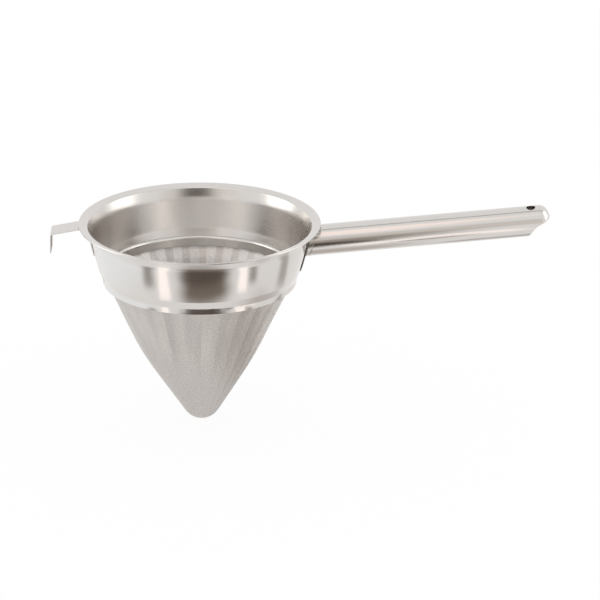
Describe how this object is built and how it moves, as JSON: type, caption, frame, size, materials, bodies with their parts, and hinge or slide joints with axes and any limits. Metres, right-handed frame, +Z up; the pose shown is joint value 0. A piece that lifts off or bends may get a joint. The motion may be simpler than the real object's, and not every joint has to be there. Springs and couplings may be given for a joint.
{
  "type": "conical fine mesh strainer",
  "caption": "Conical fine mesh strainer in stainless steel: flanged bowl, pleated wire cloth cone held by a clamp ring, tube handle with hanging hole, and a pot hook.",
  "frame": {"origin": "centre of the rim's top, on the bowl's axis", "axes": "+X along the handle's side, +Z up along the bowl's axis, +Y completes a right-handed frame; the picture looks along +Y from above"},
  "size_m": [0.4191, 0.203, 0.1918],
  "materials": {
    "bowl_steel": "polished sheet with a faint turned grain",
    "ring_steel": "polished sheet",
    "wire_cloth": "fine woven wire, satin",
    "bracket_steel": "satin",
    "tube_steel": "polished tube with a faint lengthwise grain",
    "strap_steel": "satin",
    "weld_steel": "fused bead, semi-gloss"
  },
  "bodies": {
    "root": {"bowl": "bowl_steel", "clamp_ring": "ring_steel", "mesh_cone": "wire_cloth", "handle_saddle": "bracket_steel", "handle_socket": "bracket_steel", "handle_tube": "tube_steel", "hook_strap": "strap_steel", "ring_tack_weld_1": "weld_steel", "ring_tack_weld_2": "weld_steel", "ring_tack_weld_3": "weld_steel"}
  },
  "joints": []
}
